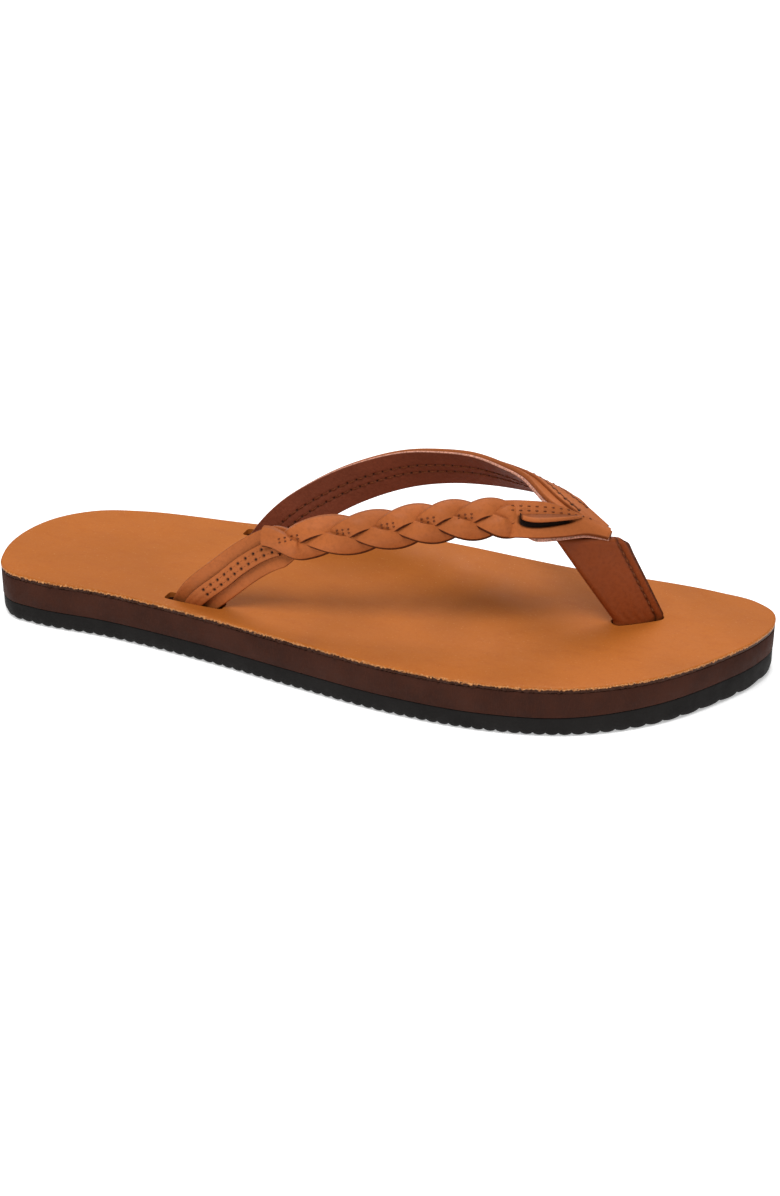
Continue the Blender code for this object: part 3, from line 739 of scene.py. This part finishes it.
def band(name, slot, strap, start, end, layer, full=STRAP_HALF_WIDTH, radius=0.55, crown=0.25,
         step=1.0, columns=26, face=1, sewn=None, replaces=(), rise=None, shift=None,
         shaded=None, edge=1.0):
    """A strip of leather on a strap.

    sewn is (start, end, row, radius) of two rows of needle holes, shaded a hollow whose shade is painted
    dark, and edge how strongly the cut edges show.  rise and shift move it out and to the upper side."""
    distance = np.linspace(start, end, max(2, round((end - start) / step)))
    widest = full(distance) if callable(full) else full
    half = strap.half_width(distance, widest)
    sides, heights, cuts = profile(half, *layer, radius, crown, columns, face)
    hole = np.zeros_like(sides)
    if sewn:
        hole[:, :columns] = holes(distance[:, None], sides[:, :columns], *sewn)
        sunk = np.zeros_like(hole)
        near_row = np.abs(np.abs(sides[:, :columns]) - sewn[2])
        sunk[:, :columns] = 0.1 * np.exp(-(near_row / 0.5) ** 2) + HOLE_DEPTH * hole[:, :columns]
        heights = heights - face * sunk
    if shaded is not None:
        # painted shade: the hollow under the flap is painted dark through the value hole, and sunk by
        # FOLD_DEPTH
        hollow = shaded(distance[:, None], sides[:, :columns])
        hole[:, :columns] = 0.5 * hollow
        heights[:, :columns] -= FOLD_DEPTH * hollow
    if rise is not None:
        heights = heights + rise(distance)[:, None]
    if shift is not None:
        sides = sides + shift(distance)[:, None]
    values = {"cut": np.tile(edge * cuts, (len(distance), 1)), "hole": np.clip(hole * 2, 0, 1)}
    return tube(name, slot, strap.at(distance[:, None], sides, heights), values, 55, replaces)


def stitches(name, spans, radius, replaces=()):
    """Short stitches: each span is (start, end, outward), and its thread bulges between two sunk ends."""
    sides, rings = 7, 6
    points, faces = [], []
    for start, end, outward in spans:
        start, end, outward = (np.asarray(item, float) for item in (start, end, outward))
        along = (end - start) / np.linalg.norm(end - start)
        aside = np.cross(along, outward)
        first = len(points)
        for share in np.linspace(0, 1, rings):
            thick = radius * (0.55 + 0.45 * sin(pi * share))
            bulge = radius * 1.5 * sin(pi * share) - radius * 0.9
            middle = start + share * (end - start) + outward * bulge
            for turn in np.arange(sides) * 2 * pi / sides:
                points.append(middle + thick * (cos(turn) * outward + sin(turn) * aside))
        faces += [[first + i for i in face] for face in ring_faces(rings, sides)]
    piece(name, "thread", points, faces, sharp=80, replaces=replaces)


def stitch_row(name, strap, start, end, side, height, replaces=(), face=1, radius=0.24,
               shift=lambda distance: 0.0):
    """A row of stitches that run from needle hole to needle hole."""
    spans = []
    for hole in np.arange(start, end - HOLE_PITCH, HOLE_PITCH):
        ends = [strap.at(mark, side + shift(mark), height)
                for mark in (hole + STITCH_INSET, hole + HOLE_PITCH - STITCH_INSET)]
        outward = strap.read(strap.outward, hole + HOLE_PITCH / 2) * face
        spans.append((*ends, outward))
    stitches(name, spans, radius, replaces)


def medial_strap():
    """The plain strap: lining, outer leather and the sewn strip, with stitches on both faces."""
    end = MEDIAL.end
    sewn_from = MEDIAL_OVER_SOLE + 3
    strip_sewn_to = end - 12
    band("medial_lining_leather", "lining_leather", MEDIAL, STRAP_START, end, LINING_LAYER,
         radius=0.3, crown=0.1, step=0.5, columns=40, face=-1,
         sewn=(sewn_from, end - 4, *LINING_HOLES), replaces=("medial_lining",))
    band("medial_strap_leather", "strap_leather", MEDIAL, STRAP_START, end, MEDIAL_LAYER,
         STRAP_HALF_WIDTH - 0.25, edge=0.25, replaces=("medial_strap",))
    band("medial_strip_leather", "strap_leather", MEDIAL, STRAP_START + 4, end - 2, MEDIAL_STRIP_LAYER,
         MEDIAL_STRIP_HALF_WIDTH, step=0.4, columns=20, edge=0.4,
         sewn=(sewn_from, strip_sewn_to, *MEDIAL_HOLES), replaces=("medial_strip",))
    for sign, row in ((1, "upper"), (-1, "lower")):
        stitch_row(f"medial_{row}_stitches", MEDIAL, sewn_from, strip_sewn_to, sign * MEDIAL_HOLES[0],
                   MEDIAL_STITCH_HEIGHT, (f"medial_stitch_{row}",))
        stitch_row(f"medial_{row}_lining_stitches", MEDIAL, sewn_from, end - 14,
                   sign * LINING_HOLES[0], LINING_STITCH_HEIGHT, face=-1, radius=0.2)


# ---- braid ----
BRAID_START = LATERAL.distance_of(BRAID_START_X)
BRAID_END = LATERAL.distance_of(BRAID_END_X)
LOBES = BRAID_START + np.array(LOBE_FROM_START)
TAB_START = BRAID_END - 7
TAB_LENGTH = 20.5
TAB_ROOT = 1.6
TAB_ROOT_RISE = 1.2
FOLD_DEPTH = 0.8


def braid_phase(distance):
    """The braid's turn in radians; a lobe reaches the upper edge every third of a turn, at LOBES."""
    turns = pi / 2 + 2 * pi / 3 * np.arange(len(LOBES))
    rates = np.diff(turns) / np.diff(LOBES)
    before = rates[0] * np.minimum(distance - LOBES[0], 0)
    after = rates[-1] * np.maximum(distance - LOBES[-1], 0)
    return np.interp(distance, LOBES, turns) + before + after


def ribbon(number):
    """One of the braid's three flat strands.  It lies over its neighbour on its way to an edge.

    Strand 2 starts as the wrap round the plain strap's end; the other two start hidden under it."""
    distance = np.arange(BRAID_START + RIBBON_FROM_START[number], BRAID_END - 4, 0.5)
    fine = np.linspace(distance[0] - 3, distance[-1] + 3, 600)
    kernel = np.hanning(61) / np.hanning(61).sum()
    turns = np.convolve(np.pad(braid_phase(fine), 30, mode="reflect", reflect_type="odd"), kernel, "valid")
    phase = np.interp(distance, fine, turns) - number * 2 * pi / 3
    swing = RIBBON_SWING * (1 - 0.5 * ramp(distance, BRAID_END - 14, BRAID_END - 4))
    middle = swing * np.sin(phase)
    lift = RIBBON_CENTRE + RIBBON_LIFT * np.sin(2 * phase)
    if number == 2:  # the wrap crosses the strap once, from its upper edge to its lower one
        wrap = 1 - ramp(distance, BRAID_START + 12, BRAID_START + 15)
        crossing = 3.9 - 7.6 * ramp(distance, BRAID_START + 2, BRAID_START + 15)
        middle = middle + wrap * (crossing - middle)
        lift = lift + wrap * (4.7 - lift)
    elif number == 0:
        hidden = 1 - ramp(distance, BRAID_START + 10, BRAID_START + 17)
        middle = middle * (1 - hidden)
        lift = lift + hidden * (2.2 - lift)
    else:
        lift = lift + (1 - ramp(distance, BRAID_START + 7, BRAID_START + 12)) * (2.4 - lift)
    lift = lift - (lift - 0.8) * ramp(distance, BRAID_END - 12, BRAID_END - 4)
    slope = np.gradient(middle, distance)
    bend = 1 / np.sqrt(1 + slope**2)
    roll = 0.2 * np.cos(phase) - 0.36 * np.sin(phase)
    columns = 16
    width = np.full_like(distance, RIBBON_HALF_WIDTH)
    sides, heights, cuts = profile(width, -RIBBON_HALF_THICKNESS, RIBBON_HALF_THICKNESS, 0.4, 0.5, columns,
                                   flare=RIBBON_FLARE)
    # painted light: the cut edges on the strap's upper side face the light, so they get only a quarter of
    # the dark cut colour and are painted lighter than the lower ones
    cuts[columns:columns + 6] *= 0.25
    along = distance[:, None] - sides * (slope * bend)[:, None]
    across = middle[:, None] + sides * bend[:, None]
    height = lift[:, None] + heights + roll[:, None] * sides
    height = height - 0.05 * np.maximum(np.abs(across) - 3.5, 0) ** 2
    values = {"cut": np.tile(cuts, (len(distance), 1)), "hole": np.zeros_like(sides)}
    name = f"braid_strand_{number + 1}"
    return tube(f"{name}_leather", "strap_leather", LATERAL.at(along, across, height), values, 55, (name,))


def surface_tree(pieces):
    """What a ray from outside the straps meets, in the part's frame."""
    points, faces = [], []
    for made in pieces:
        first = len(points)
        points += [vert.co.copy() for vert in made.data.vertices]
        faces += [[first + i for i in face.vertices] for face in made.data.polygons]
    return BVHTree.FromPolygons(points, faces)


def drafted(point):
    """A point of the part's frame back in drafted millimetres."""
    return np.array([(point[0] - FRAME_CENTRE[0]) / MM + DRAFT_CENTRE[0],
                     (point[1] - FRAME_CENTRE[1]) / MM + DRAFT_CENTRE[1], point[2] / MM])


def in_cluster(distance):
    """Whether a stitch through the braid comes up on one of its upper lobes here."""
    return 0.12 < (braid_phase(distance) - pi / 2) / (2 * pi / 3) % 1 < 0.62


def sewn_over(name, tree, rows, start, end, pitch, radius, replaces=(), shown=lambda distance: True):
    """Stitches that lie on whatever surface faces outwards along the lateral strap."""
    spans = []
    for side in rows:
        marks = [mark for mark in np.arange(start, end, pitch / 2) if shown(mark)]
        found = []
        for distance in marks:
            origin = placed(LATERAL.at(distance, side, RAY_START))
            inward = -LATERAL.read(LATERAL.outward, distance)
            place, normal, *_ = tree.ray_cast(Vector(origin), Vector(inward), RAY_REACH)
            found.append(None if place is None else (drafted(place), np.array(normal)))
        for first, last in zip(found[::2], found[1::2]):
            if first is None or last is None or np.linalg.norm(first[0] - last[0]) > pitch:
                continue
            spans.append((first[0], last[0], first[1]))
    stitches(name, spans, radius, replaces)


def behind_braid(distance):
    """Half the width of the lateral lining, which stays hidden behind the braid's lobes."""
    narrow = ramp(distance, BRAID_START, BRAID_START + 9) * (1 - ramp(distance, BRAID_END - 8, BRAID_END))
    return STRAP_HALF_WIDTH - 0.4 - 2.8 * narrow


def strip_shift(distance):
    """The lateral strip leaves the slot in the middle of the strap and then runs below it."""
    return -1.2 * ramp(distance, 8, 28)


def strap_shift(distance):
    """The plain stretch of the lateral strap drifts to its lower side above the slot."""
    return -1.1 * ramp(distance, 4, 34)


def end_rise(distance):
    """How far the strap's sewn end is lifted by the strands under it; it starts hidden among them."""
    lifted = 1.7 * (1 - ramp(distance, BRAID_END, LATERAL.end - 3))
    return lifted - 2.6 * (1 - ramp(distance, BRAID_END - 14, BRAID_END - 7))


def fold_lip(distance):
    """How far below the flap's root its lip hangs; it is pinched at both ends."""
    share = np.clip((distance - TAB_START) / TAB_LENGTH, 0, 1)
    return 1.2 + 2.2 * np.sin(pi * share ** 0.7) ** 0.8


def fold_shade(distance, side):
    """1 in the hollow that the flap leaves open below it and towards the heel; its shade is painted dark.
    """
    share = (distance - TAB_START) / TAB_LENGTH
    lip = TAB_ROOT + TAB_ROOT_RISE * share - fold_lip(distance)
    below = 1.9 * (1 - np.clip(share, 0, 1)) ** 0.8
    bottom = ramp(side, lip - below - 0.5, lip - below + 0.3)
    deep = bottom * (1 - ramp(side, TAB_ROOT - 0.9, TAB_ROOT - 0.2))
    return deep * ramp(share, -0.06, 0.02) * (1 - ramp(share, 0.75, 0.95))


def under_wrap(distance):
    """Half the width of the lateral strap's outer leather, which ends under the braid's first wrap."""
    return STRAP_HALF_WIDTH - 4 * ramp(distance, BRAID_START + 5, BRAID_START + 16)


def lining_shift(distance):
    """The lining follows the plain stretch and is back in the middle behind the braid."""
    return strap_shift(distance) * (1 - ramp(distance, BRAID_START, BRAID_START + 12))


def lateral_strap():
    """The strap with the braid: its plain stretch, the plaited strands and the sewn end with its flap."""
    end = LATERAL.end
    sewn_from = LATERAL_OVER_SOLE + 3.2
    sewn_to = BRAID_START + 4
    band("lateral_lining_leather", "lining_leather", LATERAL, STRAP_START, end, LINING_LAYER, behind_braid,
         radius=0.3, crown=0.1, face=-1, shift=lining_shift, replaces=("lateral_lining",))
    band("lateral_strap_leather", "strap_leather", LATERAL, STRAP_START, BRAID_START + 16, LATERAL_LAYER,
         under_wrap, crown=-0.3, shift=strap_shift, edge=0.5, replaces=("lateral_strap",))
    band("lateral_strip_leather", "strap_leather", LATERAL, STRAP_START + 4, BRAID_START + 6,
         LATERAL_STRIP_LAYER, LATERAL_STRIP_HALF_WIDTH, step=0.4, columns=22, shift=strip_shift,
         sewn=(sewn_from, sewn_to, *LATERAL_HOLES), replaces=("lateral_strip",))
    for sign, row in ((1, "upper"), (-1, "lower")):
        stitch_row(f"lateral_{row}_stitches", LATERAL, sewn_from, sewn_to, sign * LATERAL_HOLES[0],
                   LATERAL_STITCH_HEIGHT, (f"lateral_stitch_{row}",), radius=0.12, shift=strip_shift)
    ribbons = [ribbon(number) for number in range(3)]
    sewn_over("braid_centre_stitches", surface_tree(ribbons), (0.3, 1.5),
              BRAID_START + 5, BRAID_END - 12, 2.0, 0.3, shown=in_cluster)
    sewn_end = band("lateral_end_leather", "strap_leather", LATERAL, BRAID_END - 13, end - 0.5,
                    LATERAL_END_LAYER, LATERAL_END_HALF_WIDTH, crown=0.7, step=0.4, columns=34,
                    rise=end_rise, shaded=fold_shade, edge=0.6, replaces=("lateral_end",))
    sewn_over("lateral_end_stitches", surface_tree([sewn_end, *ribbons]), (2.7, 4.2),
              BRAID_END - 10, end - 5, 2.6, 0.24, ("lateral_end_stitch",))
    end_tab()


def end_tab():
    """The last strand's end: a flap that juts out like an awning, open below and towards the heel."""
    columns = 44
    distance = np.linspace(TAB_START, TAB_START + TAB_LENGTH, columns)
    share = (distance - TAB_START) / TAB_LENGTH
    root = TAB_ROOT + TAB_ROOT_RISE * share
    lip = root - fold_lip(distance) + 0.6
    out = 3.0 + 2.3 * np.sin(pi * np.clip(share * 0.75 + 0.25, 0, 1)) ** 0.7
    thick = 0.8 - 0.25 * share
    ring = [(root, 2.2 + 0 * share)]
    for along in (0.25, 0.5, 0.75):
        ring.append((root + (lip + thick - root) * along, 2.4 + (out - 2.9) * along ** 1.3))
    for angle in np.radians((70, 30, -10, -50, -90, -130)):
        ring.append((lip + thick * np.sin(angle), out + thick * (np.cos(angle) - 1) * 0.9))
    ring += [(lip + 0.2, 1.2 + 0.4 * (out - 1.2)), (lip + 0.2, 1.0 + 0 * share)]
    sides = np.stack([side for side, height in ring], axis=1)
    heights = np.stack([height for side, height in ring], axis=1) + end_rise(distance)[:, None]
    cuts = [0.9] + [0.5] * 3 + [0.0] * 4 + [0.6, 1.0, 1.0, 1.0]
    # painted shade: the flap's open end towards the heel, its root and its underside are painted dark
    # through the value hole
    inside = np.zeros_like(sides)
    inside[:2] = np.array((1.0, 0.6))[:, None]
    inside[:, 0] = 0.8
    inside[:, -3:] = 1.0
    values = {"cut": np.tile(cuts, (columns, 1)), "hole": inside}
    tube("braid_end_tab_leather", "strap_leather", LATERAL.at(distance[:, None], sides, heights), values,
         60, ("braid_end_tab",))


# ---- toe post ----
def post_place(share, along, aside):
    """A point of the toe post at a share of its height, along its width to the front.

    aside goes towards its medial face."""
    rise = np.clip(share, 0, 1)
    turn = POST_TURNS[0] + (POST_TURNS[1] - POST_TURNS[0]) * rise
    x = POST_BASE[0] + (POST_TOP[0] - POST_BASE[0]) * rise + along * np.cos(turn) - aside * np.sin(turn)
    y = POST_BASE[1] + (POST_TOP[1] - POST_BASE[1]) * rise + along * np.sin(turn) + aside * np.cos(turn)
    z = FLOOR_OF_FOOT + share * (POST_TOP_HEIGHT - FLOOR_OF_FOOT) + POST_TOP_SLANT * along * rise
    return np.stack(np.broadcast_arrays(x, y, z), axis=-1)


def post_half(share):
    """Half the width of the toe post, which widens upwards."""
    return np.interp(share, (0, 1), POST_HALF_WIDTHS)


def toe_post():
    """Leather folded round the web at its rear edge; its two layers meet and are sewn at the front."""
    shares = np.concatenate([[-0.2], np.linspace(-0.05, 1.0, 46), [1.02, 1.035, 1.04]])
    shrink = np.concatenate([np.zeros(47), [0.25, 0.8, 1.8]])
    rings, cuts, seam_shades = [], [], []
    for share, less in zip(shares, shrink):
        half = post_half(share) - 0.4 * less
        thick = POST_HALF_THICKNESS * (1 - 0.25 * max(share, 0)) - less
        layer = max(POST_LEATHER - less * 0.7, 0.1)
        u = np.linspace(0, 1, 40)
        along = half - 0.5 - u * (2 * half - 0.5 - thick)
        from_seam = along - (half - POST_SEAM)
        pulled = 0.3 * np.exp(-(from_seam / 0.7) ** 2)
        face = layer + (thick - layer) * ramp(u, 0, 0.55) - pulled
        fold = np.linspace(pi / 2, 3 * pi / 2, 12)[1:-1]
        fold_along, fold_aside = -half + thick + thick * np.cos(fold), thick * np.sin(fold)
        crease = 0.16 * np.sin(along * 1.9 + 1.2 * share) * np.exp(-((share - 0.03) / 0.07) ** 2)
        medial = list(zip(along + 0.55, face))
        lateral = list(zip(along, -face - crease))[::-1]
        front = [(half - 0.05, -layer + 0.3), (half - 0.5, -0.12), (half - 1.1, 0.0),
                 (half + 0.1, 0.14), (half + 0.6, 0.35), (half + 0.55, layer - 0.3)]
        table = np.array(medial + list(zip(fold_along, fold_aside)) + lateral + front)
        rounded = 0.06 * ramp(table[:, 0], half - 3, half + 0.6) ** 2 * ramp(share, 0.8, 1)
        rings.append(post_place(share - rounded, table[:, 0], table[:, 1]))
        cuts.append([0.0] * (len(table) - len(front)) + [1.0] * len(front))
        # painted shade: the groove that the seam draws into the lateral face is painted dark through the
        # value hole
        seam_shade = 0.75 * np.exp(-(from_seam / 0.45) ** 2)
        seam_shades.append([0.0] * (len(u) + len(fold)) + seam_shade[::-1].tolist() + [0.0] * len(front))
    tube("toe_post_leather", "post_leather", rings, {"cut": cuts, "hole": seam_shades}, 60, ("toe_post_sleeve",))
    spans = []
    pitch = POST_STITCH_PITCH / (POST_TOP_HEIGHT - FLOOR_OF_FOOT)
    for share in np.arange(0.03, 0.93, pitch):
        ends = [post_place(mark, post_half(mark) - POST_SEAM, -1.2)
                for mark in (share + 0.12 * pitch, share + 0.88 * pitch)]
        outward = post_place(share, 0, -1) - post_place(share, 0, 0)
        spans.append((*ends, outward))
    stitches("toe_post_stitches", spans, 0.36, ("toe_post_stitch",))


def carried_over():
    """The two hidden CAD pieces stay, with better materials."""
    for node, slot in (("arch_wedge", "arch_foam"), ("toe_post_core", "webbing")):
        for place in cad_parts[node].material_slots:
            place.material = LOOKS[slot]


# ---- studio ----
def area_light(name, place, size, power):
    """A soft box that points at the origin."""
    light = bpy.data.lights.new(name, 'AREA')
    light.shape = 'RECTANGLE'
    light.size, light.size_y = size
    light.energy = power
    lamp = linked(name, light)
    lamp.location = place
    lamp.rotation_euler = (-Vector(place)).to_track_quat('-Z', 'Y').to_euler()


def studio():
    """A white floor that gives off a little light of its own, two soft boxes and an even white sky."""
    half = FLOOR_HALF_WIDTH
    mesh = bpy.data.meshes.new("floor")
    corners = [(-half, -half, 0), (half, -half, 0), (half, half, 0), (-half, half, 0)]
    mesh.from_pydata(corners, [], [(0, 1, 2, 3)])
    paint = Paint("floor_paper", 0.9, specular=0.1)
    paint.shader.inputs["Emission Color"].default_value = (1, 1, 1, 1)
    paint.shader.inputs["Emission Strength"].default_value = FLOOR_GLOW
    mesh.materials.append(paint.finish(paint.mix(paint.noise(300, 2), *FLOOR_COLOURS)))
    linked("floor", mesh)
    for name, (place, size, power) in AREA_LIGHTS.items():
        area_light(name, place, size, power)
    world = bpy.data.worlds.new("studio")
    world.use_nodes = True
    backdrop = world.node_tree.nodes["Background"]
    backdrop.inputs["Color"].default_value = (1, 1, 1, 1)
    backdrop.inputs["Strength"].default_value = WORLD_LIGHT
    bpy.context.scene.world = world
    bpy.context.scene.view_settings.view_transform = 'Standard'


def camera():
    """A view from the lateral side and the toe, through a long lens."""
    lens = bpy.data.cameras.new("camera")
    lens.lens = FOCAL_LENGTH
    lens.sensor_width = SENSOR_WIDTH
    lens.clip_end = 20
    shot = linked("camera", lens)
    shot.location = CAMERA_PLACE
    shot.rotation_euler = Vector(CAMERA_DIRECTION).to_track_quat('-Z', 'Y').to_euler()
    bpy.context.scene.camera = shot


camera()
studio()
sole()
medial_strap()
lateral_strap()
toe_post()
carried_over()
